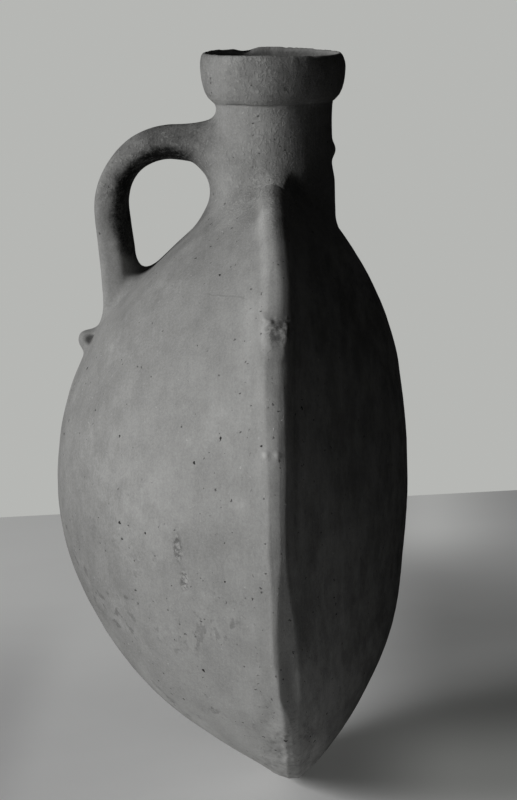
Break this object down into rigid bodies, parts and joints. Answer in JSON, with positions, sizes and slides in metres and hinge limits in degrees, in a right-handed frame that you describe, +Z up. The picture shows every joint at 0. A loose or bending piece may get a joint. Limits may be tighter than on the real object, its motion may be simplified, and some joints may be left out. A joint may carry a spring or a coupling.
{
  "type": "pilgrim flask",
  "caption": "Large fired-clay pilgrim flask of two unequal bowls joined rim to rim, with a banded mouth, one loop handle and small lugs.",
  "frame": {"origin": "middle of the small worn flat at the lowest point of the seam, under the neck", "axes": "+Z up along the neck, seam plane at x = 0, deep bowl and handle towards -X, shallow bowl towards +X, the pictured side towards -Y"},
  "size_m": [0.1633, 0.2852, 0.339],
  "materials": {
    "fired_clay": "matt, unglazed, gritty fired clay"
  },
  "bodies": {
    "root": {"deep_bowl": "fired_clay", "shallow_bowl": "fired_clay", "seam_strip": "fired_clay", "front_rib": "fired_clay", "back_rib": "fired_clay", "neck": "fired_clay", "neck_coil": "fired_clay", "mouth_band": "fired_clay", "handle": "fired_clay", "face_lug": "fired_clay", "front_lug": "fired_clay", "back_lug": "fired_clay", "neck_boss": "fired_clay"}
  },
  "joints": []
}
